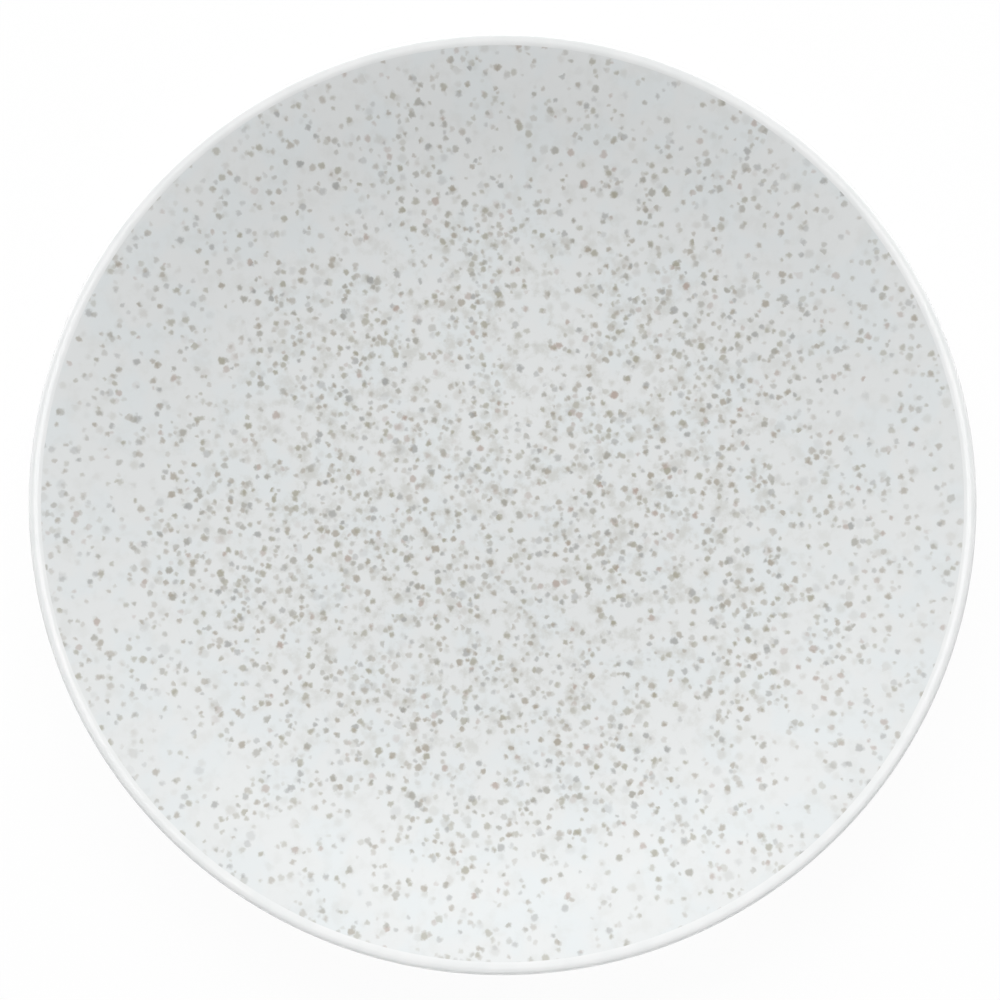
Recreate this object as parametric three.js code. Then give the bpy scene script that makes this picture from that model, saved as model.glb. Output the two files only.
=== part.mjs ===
// A round coupe plate: one fired clay body with its foot ring, under four coats of glaze.
// Millimetres, +Z up. The origin is the centre of the foot ring, on the table.
import * as THREE from 'three';

// Finished sizes of the plate, glaze included
const plateDiameter = 270;
const flatDiameter = 48; // level middle of the face
const dishSlope = THREE.MathUtils.degToRad(5.4); // slope that the shallow middle reaches, inside the foot
const rimSlope = THREE.MathUtils.degToRad(17); // slope of the straight rim
const rimWidth = 20.2; // straight rim, in plan, between the wall's bend and the lip
const wallThickness = 4.5; // base and wall alike
const lipWidth = 3.6; // lip, in plan: it eases from the rim's slope to a level crown and rounds over
const lipCornerRadius = 1; // round outside the crown

// Foot ring, in bare clay
const footDiameter = 146; // middle of the ring
const footDepth = 2.6; // table to the glazed underside at the middle of the plate
const bearingWidth = 2.2; // flat that stands on the table
const footEdgeRadius = 0.7; // rounds beside that flat
const footDraft = THREE.MathUtils.degToRad(18); // lean of the ring's sides
const footFillet = 1.8; // hollows where the sides meet the underside
const dishInset = 9; // middle of the ring back to where the shallow middle ends

// Glaze
const glazeThickness = 0.4;
const seam = 0.05; // fired seam under each coat and between two coats
const glazeLine = 0.9; // height on the foot's sides where the glaze is wiped off

// Facets of the solids
const sectors = 60;
const dishSteps = 3;
const wallSteps = 6;
const footWellSteps = 2;
const backSteps = 4;
const crownSteps = 3;
const cornerSteps = 4;
const lipUnderSteps = 4;
const filletSteps = 3;
const edgeSteps = 2;

// Sizes that follow from those
const quarterTurn = Math.PI / 2;
const coat = seam + glazeThickness;
const slopeSine = Math.sin(rimSlope);
const plateRadius = plateDiameter / 2;
const crownRadius = (lipWidth - lipCornerRadius) / slopeSine;
const lipInnerRadius = plateRadius - lipWidth;
const underClay = wallThickness - coat; // finished face to the clay's underside

// A station is a point of the section, as radius and height, with the way out of the clay there.
function station(at, out) {
  return { at: new THREE.Vector2(...at), out: new THREE.Vector2(...out) };
}

// Stations along an arc. A hollow arc has its air on the side of its centre.
function arc(centre, radius, from, to, steps, hollow = false) {
  const stations = [];
  for (let step = 0; step <= steps; step++) {
    const angle = from + ((to - from) * step) / steps;
    const out = new THREE.Vector2(Math.cos(angle), Math.sin(angle));
    const at = centre.clone().addScaledVector(out, radius);
    stations.push({ at, out: hollow ? out.negate() : out });
  }
  return stations;
}

// A bend of the finished face: from a point where it has one slope out to a radius where it has another
function bend(start, startSlope, endRadius, endSlope) {
  const curve = (endRadius - start.x) / (Math.sin(endSlope) - Math.sin(startSlope));
  const from = startSlope - quarterTurn;
  const to = endSlope - quarterTurn;
  const centre = new THREE.Vector2(start.x - curve * Math.cos(from), start.y - curve * Math.sin(from));
  const end = new THREE.Vector2(centre.x + curve * Math.cos(to), centre.y + curve * Math.sin(to));
  return { centre, curve, from, to, end };
}

// The face is level in the middle, rises along the dish's bend and the wall's, and runs straight to the lip.
const flatEdge = new THREE.Vector2(flatDiameter / 2, footDepth + wallThickness);
const dish = bend(flatEdge, 0, footDiameter / 2 - dishInset, dishSlope);
const wall = bend(dish.end, dishSlope, lipInnerRadius - rimWidth, rimSlope);
const lipInner = new THREE.Vector2(lipInnerRadius, wall.end.y + rimWidth * Math.tan(rimSlope));
const rimOut = new THREE.Vector2(-slopeSine, Math.cos(rimSlope));

// The lip's crown and its outer corner have their centres on one upright line, so they meet where the
// crown is level. The round under the lip starts at the plate's widest and touches the rim's underside.
const crownCentre = lipInner.clone().addScaledVector(rimOut, -crownRadius);
const cornerCentre = new THREE.Vector2(crownCentre.x, crownCentre.y + crownRadius - lipCornerRadius);
const widest = new THREE.Vector2(plateRadius, cornerCentre.y);
const widestDepth = lipInner.clone().sub(widest).dot(rimOut); // below the line of the rim's face
const lipUnderRadius = (wallThickness - widestDepth) / (1 - slopeSine);
const lipUnderCentre = new THREE.Vector2(plateRadius - lipUnderRadius, widest.y);

// One side of the foot ring: the round at its edge, the ways out of it and up along it, and the
// hollow that touches both that side and the underside
function footSide(outward) {
  const edge = new THREE.Vector2((footDiameter + outward * bearingWidth) / 2, footEdgeRadius);
  const out = new THREE.Vector2(outward * Math.cos(footDraft), -Math.sin(footDraft));
  const up = new THREE.Vector2(outward * Math.sin(footDraft), Math.cos(footDraft));
  const start = edge.clone().addScaledVector(out, footEdgeRadius + footFillet);
  const fromWall = start.clone().sub(wall.centre);
  const along = fromWall.dot(up);
  const beyond = fromWall.lengthSq() - (wall.curve + underClay + footFillet) ** 2;
  const hollow = start.addScaledVector(up, -along - Math.sqrt(along ** 2 - beyond));
  return { edge, out, up, hollow, toWall: wall.centre.clone().sub(hollow).angle() };
}

// Where the glaze ends on one side of the ring
function glazeEnd({ edge, out, up }) {
  const at = edge.clone().addScaledVector(out, footEdgeRadius);
  at.addScaledVector(up, (glazeLine - at.y) / up.y);
  return { at, out };
}

// The clay's section in stretches, from the middle of the underside round the lip to the middle
// of the face
const inner = footSide(-1);
const outer = footSide(1);
const lipBack = rimSlope - quarterTurn;
const lipFace = rimSlope + quarterTurn;

const recess = [
  station([0, footDepth + coat], [0, -1]),
  ...arc(dish.centre, dish.curve + underClay, dish.from, dish.to, dishSteps),
  ...arc(wall.centre, wall.curve + underClay, wall.from, inner.toWall - Math.PI, footWellSteps).slice(1),
  ...arc(inner.hollow, footFillet, inner.toWall, footDraft, filletSteps, true).slice(1),
];
const bearing = [
  ...arc(inner.edge, footEdgeRadius, Math.PI + footDraft, Math.PI + quarterTurn, edgeSteps),
  ...arc(outer.edge, footEdgeRadius, -quarterTurn, -footDraft, edgeSteps),
];
const back = [
  ...arc(outer.hollow, footFillet, Math.PI - footDraft, outer.toWall, filletSteps, true),
  ...arc(wall.centre, wall.curve + underClay, outer.toWall - Math.PI, wall.to, backSteps).slice(1),
];
const face = [
  { at: lipInner.clone().addScaledVector(rimOut, -coat), out: rimOut },
  ...arc(wall.centre, wall.curve + coat, wall.to, wall.from, wallSteps, true),
  ...arc(dish.centre, dish.curve + coat, dish.to, dish.from, dishSteps, true).slice(1),
  station([0, flatEdge.y - coat], [0, 1]),
];

// The lip's rounds, which can be held back from the glaze of the underside and of the face by a length
// of surface
function lip(holdBack) {
  const underRound = lipUnderRadius - coat;
  const crownRound = crownRadius - coat;
  const under = arc(lipUnderCentre, underRound, lipBack + holdBack / underRound, 0, lipUnderSteps);
  const corner = arc(cornerCentre, lipCornerRadius - coat, 0, quarterTurn, cornerSteps);
  const crown = arc(crownCentre, crownRound, quarterTurn, lipFace - holdBack / crownRound, crownSteps);
  return [...under, ...corner.slice(1), ...crown.slice(1)];
}

// Solids of revolution
function turned(profile) {
  return new THREE.LatheGeometry(profile, sectors).rotateX(quarterTurn);
}

function turnedClay() {
  const stations = [...recess, ...bearing, ...back, ...lip(0).slice(0, -1), ...face];
  return turned(stations.map(({ at }) => at));
}

// A coat of glaze over a stretch of the section, a seam's width above the clay
function turnedCoat(stations) {
  const raised = (height) => stations.map(({ at, out }) => at.clone().addScaledVector(out, height));
  const shown = raised(coat);
  const hidden = raised(seam).reverse();
  if (stations.at(0).at.x === 0) {
    return turned([...shown, ...hidden]);
  }
  if (stations.at(-1).at.x === 0) {
    return turned([...hidden, ...shown]);
  }
  return turned([...shown, ...hidden, shown[0]]);
}

// Finishes
const firedClay = new THREE.MeshStandardMaterial({ color: '#ded9d0', roughness: 0.85, metalness: 0 });
const speckledGlaze = new THREE.MeshStandardMaterial({ color: '#dcdedd', roughness: 0.2, metalness: 0 });
const whiteGlaze = new THREE.MeshStandardMaterial({ color: '#eef0f0', roughness: 0.15, metalness: 0 });

const plate = new THREE.Group();

function addPiece(name, geometry, material) {
  const piece = new THREE.Mesh(geometry, material);
  piece.name = name;
  plate.add(piece);
}

addPiece('clay_body', turnedClay(), firedClay);
addPiece('face_glaze', turnedCoat(face), speckledGlaze);
addPiece('lip_glaze', turnedCoat(lip(seam)), whiteGlaze);
addPiece('back_glaze', turnedCoat([glazeEnd(outer), ...back, lip(0)[0]]), whiteGlaze);
addPiece('foot_well_glaze', turnedCoat([...recess, glazeEnd(inner)]), whiteGlaze);

export default plate;
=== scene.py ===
"""Looks of a round coupe plate: one fired clay body under four coats of glaze, the face coat speckled."""

import math
from collections import namedtuple

import bmesh
import bpy
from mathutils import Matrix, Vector


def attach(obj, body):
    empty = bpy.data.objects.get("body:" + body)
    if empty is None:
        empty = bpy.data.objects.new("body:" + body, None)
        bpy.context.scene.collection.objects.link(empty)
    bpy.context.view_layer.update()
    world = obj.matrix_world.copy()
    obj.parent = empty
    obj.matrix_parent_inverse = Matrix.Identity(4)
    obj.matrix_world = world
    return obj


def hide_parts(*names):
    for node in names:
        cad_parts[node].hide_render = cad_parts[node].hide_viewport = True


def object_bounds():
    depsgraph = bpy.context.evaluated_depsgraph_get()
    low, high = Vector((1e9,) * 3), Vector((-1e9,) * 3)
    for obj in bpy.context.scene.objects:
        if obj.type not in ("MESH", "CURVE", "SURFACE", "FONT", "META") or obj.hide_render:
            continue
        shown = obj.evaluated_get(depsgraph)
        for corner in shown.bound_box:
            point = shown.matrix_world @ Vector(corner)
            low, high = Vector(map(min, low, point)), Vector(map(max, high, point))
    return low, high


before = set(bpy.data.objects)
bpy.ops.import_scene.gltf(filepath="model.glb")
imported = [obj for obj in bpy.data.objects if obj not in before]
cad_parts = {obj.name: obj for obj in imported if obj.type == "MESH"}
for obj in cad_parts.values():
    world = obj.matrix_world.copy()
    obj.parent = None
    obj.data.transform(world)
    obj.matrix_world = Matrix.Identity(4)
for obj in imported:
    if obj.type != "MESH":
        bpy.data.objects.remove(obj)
cad_low, cad_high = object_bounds()

MM = 0.001
QUARTER_TURN = math.pi / 2

# Finished section of the plate, glaze included
plate_radius = cad_high.x
lip_crown = cad_high.z
flat_radius = 24 * MM
dish_radius = 64 * MM
dish_slope = math.radians(5.4)
rim_width = 20.2 * MM
rim_slope = math.radians(17)
thickness = 4.5 * MM
lip_corner = 1.0 * MM
plain_lip = 3.6 * MM

# Foot ring, in bare clay
foot_radius = 73 * MM
bearing_width = 2.2 * MM
foot_edge_round = 0.7 * MM
foot_draft = math.radians(18)
foot_fillet = 1.8 * MM

# Glaze coats
glaze = 0.4 * MM
seam = 0.05 * MM
glaze_line = 0.9 * MM
coat = seam + glaze

# Steps of the turned meshes
SECTORS = 240
FLAT_STEPS = 4
DISH_STEPS = 10
WALL_STEPS = 16
RIM_STEPS = 4
BACK_STEPS = 14
LIP_STEPS = 10
FILLET_STEPS = 6
EDGE_STEPS = 4
SHARP_ANGLE = math.radians(50)

# Sizes that follow from those
crown_round = (plain_lip - lip_corner) / math.sin(rim_slope)
lip_height = lip_crown - lip_corner
under_clay = thickness - coat


# Stretches that make several lots of a scattered point's one, so that they don't go with its place
LOT_STRETCHES = (37, 113, 251)


class Wire:
    """A number that runs through a finish: sums on it add Math nodes."""

    def __init__(self, finish, socket):
        self.finish = finish
        self.socket = socket

    def math(self, operation, *values):
        """A Math node on these values, in their order."""
        sockets = dict(zip(("Value", "Value_001", "Value_002"), values))
        return self.finish.node("Math", {"operation": operation}, sockets)["Value"]

    def __add__(self, other):
        return self.math("ADD", self, other)

    def __radd__(self, other):
        return self.math("ADD", other, self)

    def __sub__(self, other):
        return self.math("SUBTRACT", self, other)

    def __rsub__(self, other):
        return self.math("SUBTRACT", other, self)

    def __mul__(self, other):
        return self.math("MULTIPLY", self, other)

    def __rmul__(self, other):
        return self.math("MULTIPLY", other, self)

    def __pow__(self, other):
        return self.math("POWER", self, other)

    def __lt__(self, other):
        return self.math("LESS_THAN", self, other)

    def fraction(self):
        """What is left over past the whole number."""
        return self.math("FRACT", self)

    def rise(self, start, end):
        """0 before start and 1 past end, in a soft step. It falls where end is below start."""
        settings = {"interpolation_type": "SMOOTHSTEP"}
        sockets = {"Value": self, "From Min": start, "From Max": end}
        return self.finish.node("MapRange", settings, sockets)["Result"]


def set_stops(ramp, stops):
    """Gives a colour ramp plain bands of colour, each from its place on."""
    ramp.interpolation = "CONSTANT"
    for _ in stops[2:]:
        ramp.elements.new(1.0)
    for stop, (start, tint) in zip(ramp.elements, stops):
        stop.position = start
        stop.color = tint


class Finish:
    """The nodes of one material, or of the world."""

    def __init__(self, owner):
        owner.use_nodes = True
        self.tree = owner.node_tree
        self.tree.nodes.clear()

    def node(self, kind, settings, sockets):
        """Adds a node, sets it, gives its sockets their values or links, and returns its outputs."""
        made = self.tree.nodes.new("ShaderNode" + kind)
        for name, value in settings.items():
            if name == "stops":
                set_stops(made.color_ramp, value)
            else:
                setattr(made, name, value)
        for name, value in sockets.items():
            socket = next(s for s in made.inputs if s.identifier == name)
            if isinstance(value, Wire):
                self.tree.links.new(value.socket, socket)
            else:
                socket.default_value = value
        return {s.identifier: Wire(self, s) for s in made.outputs}

    def vector(self, operation, *values):
        """A Vector Math node on these vectors, in their order."""
        sockets = dict(zip(("Vector", "Vector_001", "Vector_002"), values))
        return self.node("VectorMath", {"operation": operation}, sockets)

    def mix(self, share, under, over):
        """The colour under, with that share of the colour over."""
        sockets = {"Factor_Float": share, "A_Color": under, "B_Color": over}
        return self.node("Mix", {"data_type": "RGBA"}, sockets)["Result_Color"]

    def place(self):
        """Where a point of the plate is, in its own frame."""
        return self.node("TexCoord", {}, {})["Object"]

    def noise(self, place, width, detail=2.0, rough=0.5, flat=False):
        """Cloudy noise whose clouds are about as wide as width: its value and its colour."""
        settings = {"noise_dimensions": "2D" if flat else "3D"}
        sockets = {"Vector": place, "Scale": 1 / width, "Detail": detail, "Roughness": rough}
        return self.node("TexNoise", settings, sockets)

    def cells(self, place, spacing, flat=False):
        """Scattered points about spacing apart: how far the nearest is, where it is, and its lots."""
        settings = {"voronoi_dimensions": "2D" if flat else "3D"}
        sockets = {"Vector": place, "Scale": 1 / spacing, "Randomness": 1.0}
        found = self.node("TexVoronoi", settings, sockets)
        drawn = self.node("SeparateColor", {}, {"Color": found["Color"]})["Blue"]
        lots = [(drawn * stretch).fraction() for stretch in LOT_STRETCHES]
        return found["Distance"] * spacing, found["Position"], lots

    def bump(self, height, depth):
        """A surface that swells by depth where height is 1."""
        return self.node("Bump", {}, {"Height": height, "Distance": depth})["Normal"]

    def surface(self, **sockets):
        """Ends the material in one glossy or matt surface."""
        named = {name.replace("_", " "): value for name, value in sockets.items()}
        bsdf = self.node("BsdfPrincipled", {}, named)["BSDF"]
        self.node("OutputMaterial", {}, {"Surface": bsdf})


def colour(red, green, blue):
    """A colour as a screen shows it, from 0 to 255, in the linear light that shaders take."""
    def linear(level):
        share = level / 255
        return share / 12.92 if share <= 0.04045 else ((share + 0.055) / 1.055) ** 2.4
    return (linear(red), linear(green), linear(blue), 1.0)


# Gloss of the glazes, and their faint swell
GLAZE_IOR = 1.5
FACE_SWELL = 9 * MM
WHITE_SWELL = 8 * MM
SWELL_DEPTH = 0.02 * MM

# White glaze: its tones, and the few pinholes in it
WHITE = colour(234, 236, 236)
WHITEST = colour(238, 239, 239)
PINHOLE_TONE = colour(190, 188, 182)
PINHOLE_SPACING = 7 * MM
PINHOLE_SHARE = 0.12  # of the cells that hold one
PINHOLE_RADIUS = 0.16 * MM
PINHOLE_REACH = 0.30 * MM  # to where its edge has faded out

# Fired clay: its tones, its grain, and the grit in it
CLAY = colour(222, 216, 206)
CLAY_SHADE = colour(212, 205, 193)
CLAY_GRAIN = colour(196, 188, 174)
GRIT_TONE = colour(158, 146, 128)
SHADE_WIDTH = 6 * MM
GRAIN_WIDTH = 0.5 * MM
GRAIN_DEPTH = 0.05 * MM
GRIT_SPACING = 1.1 * MM
GRIT_SHARE = 0.2
GRIT_RADIUS = 0.10 * MM
GRIT_REACH = 0.22 * MM

# Specks of the face glaze, by size: cells they are strewn in, share of the cells that hold one where
# they are thickest, least and greatest radius, softness of the edge, and how strongly they colour
Specks = namedtuple("Specks", "spacing share small large soft faint strong")
SPECK_SIZES = (
    Specks(4.6 * MM, 0.70, 0.70 * MM, 1.50 * MM, 1.30 * MM, 0.08, 0.28),
    Specks(4.4 * MM, 0.72, 0.68 * MM, 1.10 * MM, 0.85 * MM, 0.38, 0.82),
    Specks(3.7 * MM, 0.72, 0.56 * MM, 0.92 * MM, 0.75 * MM, 0.26, 0.74),
    Specks(2.9 * MM, 0.42, 0.44 * MM, 0.72 * MM, 0.62 * MM, 0.16, 0.60),
)

SIZE_SHIFT = Vector((0.37, 0.61, 0.0))  # between the scatter of one size and the next, in metres
RAGGED_GRAIN = 1.5 * MM  # grain that makes the specks ragged
RAGGED_SHIFT = 1.4 * MM  # how far it moves their edges
CLUMP_WIDTH = 30 * MM  # clumps that the specks lie in
SPECK_STRENGTH = 1.13  # of all the specks, in the middle of the plate
LIP_FAINTER = 0.22  # what that strength loses towards the lip
LIP_SPARSER = 0.42  # share of the specks that is missing near the lip
POOL_WIDTH = 14 * MM  # patches where the ground is cooler
DUST_WIDTH = 6 * MM  # clouds of fine dust in the ground

GROUND = colour(224, 226, 226)
POOLED = colour(222, 226, 227)
MOTTLE = colour(207, 208, 205)
SPECK_TINTS = (
    (0.00, colour(163, 155, 142)),
    (0.32, colour(161, 157, 141)),
    (0.58, colour(159, 156, 147)),
    (0.78, colour(155, 155, 153)),
    (0.93, colour(172, 155, 145)),
)


def crowding(finish, place):
    """How thickly specks lie at a place: thinner towards the lip, and in clumps."""
    reach = finish.vector("LENGTH", place)["Value"]
    outward = reach.rise(0.45 * plate_radius, 0.95 * plate_radius)
    clumps = finish.noise(place, CLUMP_WIDTH, detail=3.0, rough=0.68, flat=True)["Fac"].rise(0.34, 0.64)
    return (1 - LIP_SPARSER * outward) * (0.46 + 0.80 * clumps)


def strewn(finish, spot, specks, layer):
    """Specks of one size: how strongly they colour each point, and a lot for their tint."""
    shift = SIZE_SHIFT * (layer + 1)
    shifted = finish.vector("ADD", spot, shift)["Vector"]
    distance, centre, (chance, girth, force) = finish.cells(shifted, specks.spacing, flat=True)
    crowd = crowding(finish, finish.vector("SUBTRACT", centre, shift)["Vector"])
    there = chance < specks.share * crowd
    radius = specks.small + (specks.large - specks.small) * girth * girth
    inside = distance.rise(radius + specks.soft / 2, radius - specks.soft / 2)
    return there * inside * (specks.faint + (specks.strong - specks.faint) * force), (girth * 7).fraction()


def speckled_glaze():
    """Cool white satin glaze with taupe, olive and grey specks, thickest in the middle of the plate."""
    material = bpy.data.materials.new("speckled_glaze")
    finish = Finish(material)
    place = finish.vector("MULTIPLY", finish.place(), (1.0, 1.0, 0.0))["Vector"]
    ragged = finish.noise(place, RAGGED_GRAIN, detail=3.0, rough=0.6, flat=True)["Color"]
    spot = finish.vector("MULTIPLY_ADD", ragged, (RAGGED_SHIFT, RAGGED_SHIFT, 0.0), place)["Vector"]

    reach = finish.vector("LENGTH", place)["Value"]
    pooled = finish.noise(place, POOL_WIDTH, flat=True)["Fac"].rise(0.42, 0.66)
    dust = finish.noise(place, DUST_WIDTH, detail=4.0, rough=0.6, flat=True)["Fac"].rise(0.46, 0.74)
    dust = dust * (0.25 + 0.75 * reach.rise(0.8 * plate_radius, 0.4 * plate_radius))
    tone = finish.mix(dust, finish.mix(pooled, GROUND, POOLED), MOTTLE)

    strength = SPECK_STRENGTH - LIP_FAINTER * reach.rise(0.6 * plate_radius, 0.95 * plate_radius)
    speckled = 0.0
    for layer, specks in enumerate(SPECK_SIZES):
        mark, lot = strewn(finish, spot, specks, layer)
        tint = finish.node("ValToRGB", {"stops": SPECK_TINTS}, {"Fac": lot})["Color"]
        tone = finish.mix(mark * strength, tone, tint)
        speckled = mark + speckled

    swell = finish.noise(place, FACE_SWELL, flat=True)["Fac"]
    finish.surface(
        Base_Color=tone,
        Roughness=0.38 + 0.06 * swell + 0.08 * speckled,
        IOR=GLAZE_IOR,
        Normal=finish.bump(swell, SWELL_DEPTH),
    )
    return material


def white_glaze():
    """Plain cool white glaze with a faint swell and a few pinholes."""
    material = bpy.data.materials.new("white_glaze")
    finish = Finish(material)
    place = finish.place()
    swell = finish.noise(place, WHITE_SWELL)["Fac"]
    distance, _, (chance, *_) = finish.cells(place, PINHOLE_SPACING)
    pinhole = (chance < PINHOLE_SHARE) * distance.rise(PINHOLE_REACH, PINHOLE_RADIUS)
    tone = finish.mix(swell.rise(0.3, 0.7), WHITE, WHITEST)
    tone = finish.mix(pinhole * 0.35, tone, PINHOLE_TONE)
    finish.surface(
        Base_Color=tone,
        Roughness=0.11 + 0.06 * swell + 0.1 * pinhole,
        IOR=GLAZE_IOR,
        Normal=finish.bump(swell - 0.5 * pinhole, SWELL_DEPTH),
    )
    return material


def fired_clay():
    """Matt off-white clay with a fine grain and a little grit."""
    material = bpy.data.materials.new("fired_clay")
    finish = Finish(material)
    place = finish.place()
    grain = finish.noise(place, GRAIN_WIDTH, detail=3.0)["Fac"]
    shade = finish.noise(place, SHADE_WIDTH)["Fac"].rise(0.3, 0.7)
    distance, _, (chance, *_) = finish.cells(place, GRIT_SPACING)
    grit = (chance < GRIT_SHARE) * distance.rise(GRIT_REACH, GRIT_RADIUS)
    tone = finish.mix(shade, CLAY, CLAY_SHADE)
    tone = finish.mix(grain.rise(0.45, 0.8) * 0.5, tone, CLAY_GRAIN)
    tone = finish.mix(grit * 0.6, tone, GRIT_TONE)
    finish.surface(
        Base_Color=tone,
        Roughness=0.78 + 0.14 * grain,
        Normal=finish.bump(grain - 0.6 * grit, GRAIN_DEPTH),
    )
    return material


def arc(centre, radius, start, end, steps, hollow=False):
    """Stations along an arc: points of the section, each with the way out of the clay there."""
    stations = []
    for step in range(steps + 1):
        turn = start + (end - start) * step / steps
        out = Vector((math.cos(turn), math.sin(turn)))
        stations.append((centre + out * radius, -out if hollow else out))
    return stations


def straight(start, end, out, steps):
    """Stations along a straight stretch, from its start to just before its end."""
    return [(start.lerp(end, step / steps), out) for step in range(steps)]


Bend = namedtuple("Bend", "centre curve top low foot")


def bend(top, top_slope, end_radius, end_slope):
    """A bend of the finished face, from a point where it is steep in to a radius where it is less so."""
    curve = (top.x - end_radius) / (math.sin(top_slope) - math.sin(end_slope))
    high, low = top_slope - QUARTER_TURN, end_slope - QUARTER_TURN
    centre = top - curve * Vector((math.cos(high), math.sin(high)))
    return Bend(centre, curve, high, low, centre + curve * Vector((math.cos(low), math.sin(low))))


UP = Vector((0, 1))
rim_out = Vector((-math.sin(rim_slope), math.cos(rim_slope)))
crown_centre = Vector((plate_radius - lip_corner, lip_crown - crown_round))
lip_inner = crown_centre + crown_round * rim_out
rim_foot = lip_inner - rim_width * Vector((1, math.tan(rim_slope)))
wall = bend(rim_foot, rim_slope, dish_radius, dish_slope)
dish = bend(wall.foot, dish_slope, flat_radius, 0.0)
face_height = dish.foot.y

FootSide = namedtuple("FootSide", "edge out up hollow to_wall")


def foot_side(outward):
    """One side of the foot ring: its edge's round, the ways out and up, and the hollow above it."""
    edge = Vector((foot_radius + outward * bearing_width / 2, foot_edge_round))
    out = Vector((outward * math.cos(foot_draft), -math.sin(foot_draft)))
    up = Vector((outward * math.sin(foot_draft), math.cos(foot_draft)))
    start = edge + out * (foot_edge_round + foot_fillet)
    along = (start - wall.centre).dot(up)
    beyond = (start - wall.centre).length_squared - (wall.curve + under_clay + foot_fillet) ** 2
    hollow = start - up * (along + math.sqrt(along ** 2 - beyond))
    to_wall = wall.centre - hollow
    return FootSide(edge, out, up, hollow, math.atan2(to_wall.y, to_wall.x))


def glaze_end(side):
    """Where the glaze is wiped off on one side of the foot ring."""
    at = side.edge + side.out * foot_edge_round
    return (at + side.up * (glaze_line - at.y) / side.up.y, side.out)


inner_side = foot_side(-1)
outer_side = foot_side(1)
lip_back = rim_slope - QUARTER_TURN
lip_face = rim_slope + QUARTER_TURN
under_wall = wall.curve + under_clay
under_height = face_height - under_clay

recess = [
    *straight(Vector((0, under_height)), Vector((flat_radius, under_height)), -UP, FLAT_STEPS),
    *arc(dish.centre, dish.curve + under_clay, dish.low, dish.top, DISH_STEPS),
    *arc(wall.centre, under_wall, wall.low, inner_side.to_wall - math.pi, EDGE_STEPS)[1:],
    *arc(inner_side.hollow, foot_fillet, inner_side.to_wall, foot_draft, FILLET_STEPS, hollow=True)[1:],
]
bearing = [
    *arc(inner_side.edge, foot_edge_round, math.pi + foot_draft, math.pi + QUARTER_TURN, EDGE_STEPS),
    *arc(outer_side.edge, foot_edge_round, -QUARTER_TURN, -foot_draft, EDGE_STEPS),
]
fillet_foot = math.pi - foot_draft
back = [
    *arc(outer_side.hollow, foot_fillet, fillet_foot, outer_side.to_wall, FILLET_STEPS, hollow=True),
    *arc(wall.centre, under_wall, outer_side.to_wall - math.pi, wall.top, BACK_STEPS)[1:],
]
lip_widest = Vector((plate_radius, lip_height))
lip_under = (thickness - (lip_inner - lip_widest).dot(rim_out)) / (1 - math.sin(rim_slope))
lip = [
    *arc(lip_widest - Vector((lip_under, 0)), lip_under - coat, lip_back, 0, LIP_STEPS),
    *arc(lip_widest - Vector((lip_corner, 0)), lip_corner - coat, 0, QUARTER_TURN, LIP_STEPS)[1:],
    *arc(crown_centre, crown_round - coat, QUARTER_TURN, lip_face, LIP_STEPS)[1:],
]
face_clay = face_height - coat
face = [
    *straight(lip_inner - coat * rim_out, rim_foot - coat * rim_out, rim_out, RIM_STEPS),
    *arc(wall.centre, wall.curve + coat, wall.top, wall.low, WALL_STEPS, hollow=True),
    *arc(dish.centre, dish.curve + coat, dish.top, dish.low, DISH_STEPS, hollow=True)[1:],
    *straight(Vector((flat_radius, face_clay)), Vector((0, face_clay)), UP, FLAT_STEPS)[1:],
    (Vector((0, face_clay)), UP),
]


def turned(name, profile, material):
    """A solid of revolution: its section starts and ends on the axis, or closes on itself."""
    form = bmesh.new()
    turns = [math.tau * sector / SECTORS for sector in range(SECTORS)]
    rings = []
    for radius, height in profile:
        if radius < seam:
            rings.append([form.verts.new((0, 0, height))])
            continue
        rings.append([form.verts.new((radius * math.cos(t), radius * math.sin(t), height)) for t in turns])
    bands = list(zip(rings, rings[1:]))
    if len(rings[0]) > 1:
        bands.append((rings[-1], rings[0]))
    for near, far in bands:
        for sector in range(SECTORS):
            after = sector + 1
            corners = [near[sector % len(near)], near[after % len(near)]]
            corners += [far[after % len(far)], far[sector % len(far)]]
            form.faces.new(dict.fromkeys(corners))
    bmesh.ops.recalc_face_normals(form, faces=form.faces)
    mesh = bpy.data.meshes.new(name)
    form.to_mesh(mesh)
    form.free()
    mesh.shade_smooth()
    mesh.set_sharp_from_angle(angle=SHARP_ANGLE)
    mesh.materials.append(material)
    piece = bpy.data.objects.new(name, mesh)
    bpy.context.scene.collection.objects.link(piece)
    return piece


def coat_section(stations):
    """The section of a glaze coat over some stations, a seam's width above the clay."""
    shown = [at + out * coat for at, out in stations]
    hidden = [at + out * seam for at, out in reversed(stations)]
    if stations[-1][0].x < seam:
        return hidden + shown
    return shown + hidden


# Places in the unit square that a coat is laid out in: the shown disc, and the hidden side in a corner
DISC_MIDDLE, DISC_REACH = Vector((0.5, 0.5)), 0.49
CORNER_MIDDLE, CORNER_REACH = Vector((0.09, 0.09)), 0.08


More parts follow.
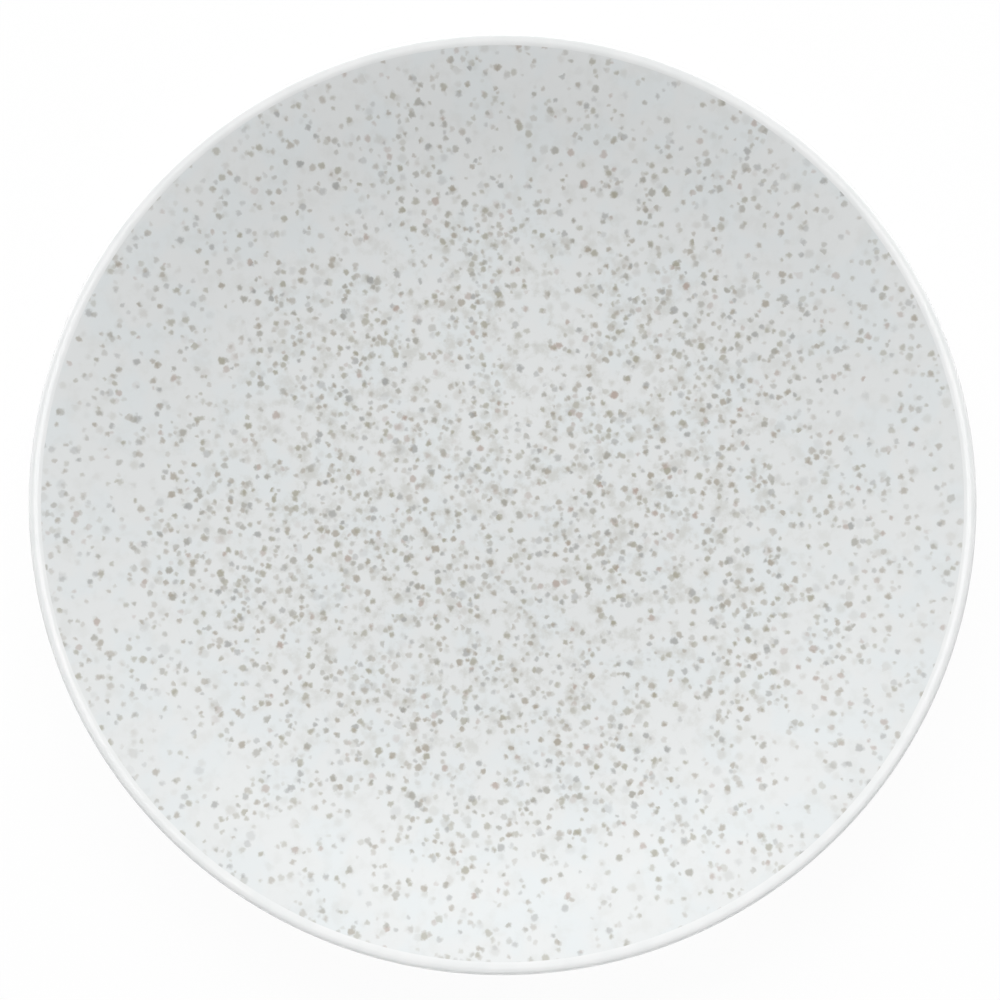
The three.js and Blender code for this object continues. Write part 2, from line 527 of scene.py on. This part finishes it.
def lay_flat(piece, section, hidden):
    """Lays a coat out for baking: its shown side and edge as one disc, its hidden side small in a corner."""
    spread = {len(section) - 1: 0.0}
    for ring in range(len(section) - 2, hidden - 2, -1):
        spread[ring] = spread[ring + 1] + (section[ring] - section[ring + 1]).length
    mesh = piece.data
    flat = mesh.uv_layers.new(name="OFBake")
    for polygon in mesh.polygons:
        rings = [(vertex + SECTORS - 1) // SECTORS for vertex in polygon.vertices]
        shown = max(rings) >= hidden
        for loop, vertex, ring in zip(polygon.loop_indices, polygon.vertices, rings):
            out = mesh.vertices[vertex].co.xy
            if shown:
                spot = DISC_MIDDLE + DISC_REACH * spread[ring] / spread[hidden - 1] * out.normalized()
            else:
                spot = CORNER_MIDDLE + CORNER_REACH / plate_radius * out
            flat.data[loop].uv = spot


def dress(piece, node):
    """The piece stands for a node of the plate and moves with it."""
    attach(piece, "root")
    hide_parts(node)


clay_finish = fired_clay()
white_finish = white_glaze()
speckled_finish = speckled_glaze()
clay_section = [at for at, out in [*recess, *bearing, *back, *lip[:-1], *face]]
dress(turned("fired_clay_plate", clay_section, clay_finish), "clay_body")
face_coat = turned("speckled_face_coat", coat_section(face), speckled_finish)
lay_flat(face_coat, coat_section(face), len(face))
dress(face_coat, "face_glaze")
dress(turned("white_lip_coat", coat_section(lip), white_finish), "lip_glaze")
back_coat = coat_section([glaze_end(outer_side), *back, lip[0]])
dress(turned("white_back_coat", back_coat, white_finish), "back_glaze")
foot_well_coat = coat_section([*recess, glaze_end(inner_side)])
dress(turned("white_foot_well_coat", foot_well_coat, white_finish), "foot_well_glaze")

# Studio: a pale table, a white room, and a camera almost overhead
CAMERA_RISE = math.radians(83.5)
CAMERA_LENS = 100  # millimetres
CAMERA_SENSOR = 36
PICTURE_HALF = 500  # pixels
PLATE_HALF = 473.9
PLATE_RIGHT = 2.6  # of the picture's middle, in pixels
PLATE_UP = -4.7
TABLE_REACH = 4.0
TABLE_WHITE = 0.96  # share of the table's look that is plain white; the rest takes light and shadow
TABLE_PALE = (0.92, 0.92, 0.92, 1.0)
PURE_WHITE = (1.0, 1.0, 1.0, 1.0)
WALL_LIGHT = 1.35
CEILING_LIGHT = 0.12

# Lamps, in degrees and metres: a broad one behind the plate, which doesn't show in the gloss, a low strip
# in front that reaches only the lip's outside, and two small ones overhead that make the lip gleam
Lamp = namedtuple("Lamp", "name azimuth elevation distance width height radiance in_gloss")
LAMPS = (
    Lamp("back_lamp", 95, 45, 3.2, 3.6, 2.0, 4.47, False),
    Lamp("front_fill", 270, 1.3, 0.5, 0.9, 0.02, 10.0, True),
    Lamp("left_gleam", 120, 82, 1.4, 0.12, 0.12, 4.6, True),
    Lamp("right_gleam", 60, 82, 1.4, 0.12, 0.12, 4.6, True),
)


def seen_white(finish):
    """1 for what the camera sees, straight or in gloss or glass, and 0 for what only lights the plate."""
    path = finish.node("LightPath", {}, {})
    seen = path["Is Camera Ray"] + path["Is Glossy Ray"] + path["Is Transmission Ray"]
    return seen.math("MINIMUM", seen, 1.0)


def lay_table():
    """A pale table that looks white and keeps a little of the plate's shadow."""
    form = bmesh.new()
    bmesh.ops.create_grid(form, x_segments=2, y_segments=2, size=TABLE_REACH)
    mesh = bpy.data.meshes.new("table")
    form.to_mesh(mesh)
    form.free()
    material = bpy.data.materials.new("table_white")
    finish = Finish(material)
    lit = finish.node("BsdfDiffuse", {}, {"Color": TABLE_PALE})["BSDF"]
    white = finish.node("Emission", {}, {"Color": PURE_WHITE, "Strength": 1.0})["Emission"]
    share = TABLE_WHITE * seen_white(finish)
    shown = finish.node("MixShader", {}, {"Fac": share, "Shader": lit, "Shader_001": white})["Shader"]
    finish.node("OutputMaterial", {}, {"Surface": shown})
    mesh.materials.append(material)
    table = bpy.data.objects.new("table", mesh)
    bpy.context.scene.collection.objects.link(table)


def fill_room():
    """A white room: bright walls low down all round, which light the lip from outside, and a dim ceiling."""
    world = bpy.data.worlds.new("white_room")
    bpy.context.scene.world = world
    finish = Finish(world)
    way = finish.node("TexCoord", {}, {})["Generated"]
    height = finish.node("SeparateXYZ", {}, {"Vector": way})["Z"]
    low = (1 - height.math("MAXIMUM", height, 0.0)) ** 3
    ceiling = finish.node("Background", {}, {"Strength": CEILING_LIGHT})["Background"]
    walls = finish.node("Background", {}, {"Color": PURE_WHITE, "Strength": WALL_LIGHT})["Background"]
    room = finish.node("MixShader", {}, {"Fac": low, "Shader": ceiling, "Shader_001": walls})["Shader"]
    white = finish.node("Background", {}, {"Color": PURE_WHITE, "Strength": 1.0})["Background"]
    seen = seen_white(finish)
    shown = finish.node("MixShader", {}, {"Fac": seen, "Shader": room, "Shader_001": white})["Shader"]
    finish.node("OutputWorld", {}, {"Surface": shown})


def hang_lamp(lamp):
    """A soft lamp that faces the plate. Azimuth 0 is to the right of the camera's picture, 90 at its top."""
    around, above = math.radians(lamp.azimuth), math.radians(lamp.elevation)
    way = Vector((math.cos(around) * math.cos(above), math.sin(around) * math.cos(above), math.sin(above)))
    light = bpy.data.lights.new(lamp.name, "AREA")
    light.shape = "RECTANGLE"
    light.size = lamp.width
    light.size_y = lamp.height
    light.energy = 4 * lamp.radiance * lamp.width * lamp.height
    holder = bpy.data.objects.new(lamp.name, light)
    holder.location = way * lamp.distance
    holder.rotation_euler = (-way).to_track_quat("-Z", "Y").to_euler()
    holder.visible_camera = False
    holder.visible_glossy = lamp.in_gloss
    bpy.context.scene.collection.objects.link(holder)


def aim_camera():
    """The camera stands almost overhead, a little to the front."""
    lens = bpy.data.cameras.new("camera")
    lens.lens = CAMERA_LENS
    lens.sensor_width = CAMERA_SENSOR
    half_view = CAMERA_SENSOR / 2 / CAMERA_LENS
    per_pixel = plate_radius / PLATE_HALF
    target = Vector((-PLATE_RIGHT * per_pixel, PLATE_UP * per_pixel, lip_height))
    back_off = Vector((0, -math.cos(CAMERA_RISE), math.sin(CAMERA_RISE)))
    camera = bpy.data.objects.new("camera", lens)
    camera.location = target + back_off * (per_pixel * PICTURE_HALF / half_view)
    camera.rotation_euler = (-back_off).to_track_quat("-Z", "Y").to_euler()
    bpy.context.scene.collection.objects.link(camera)
    bpy.context.scene.camera = camera


lay_table()
fill_room()
for lamp in LAMPS:
    hang_lamp(lamp)
aim_camera()
bpy.context.scene.view_settings.view_transform = "Standard"
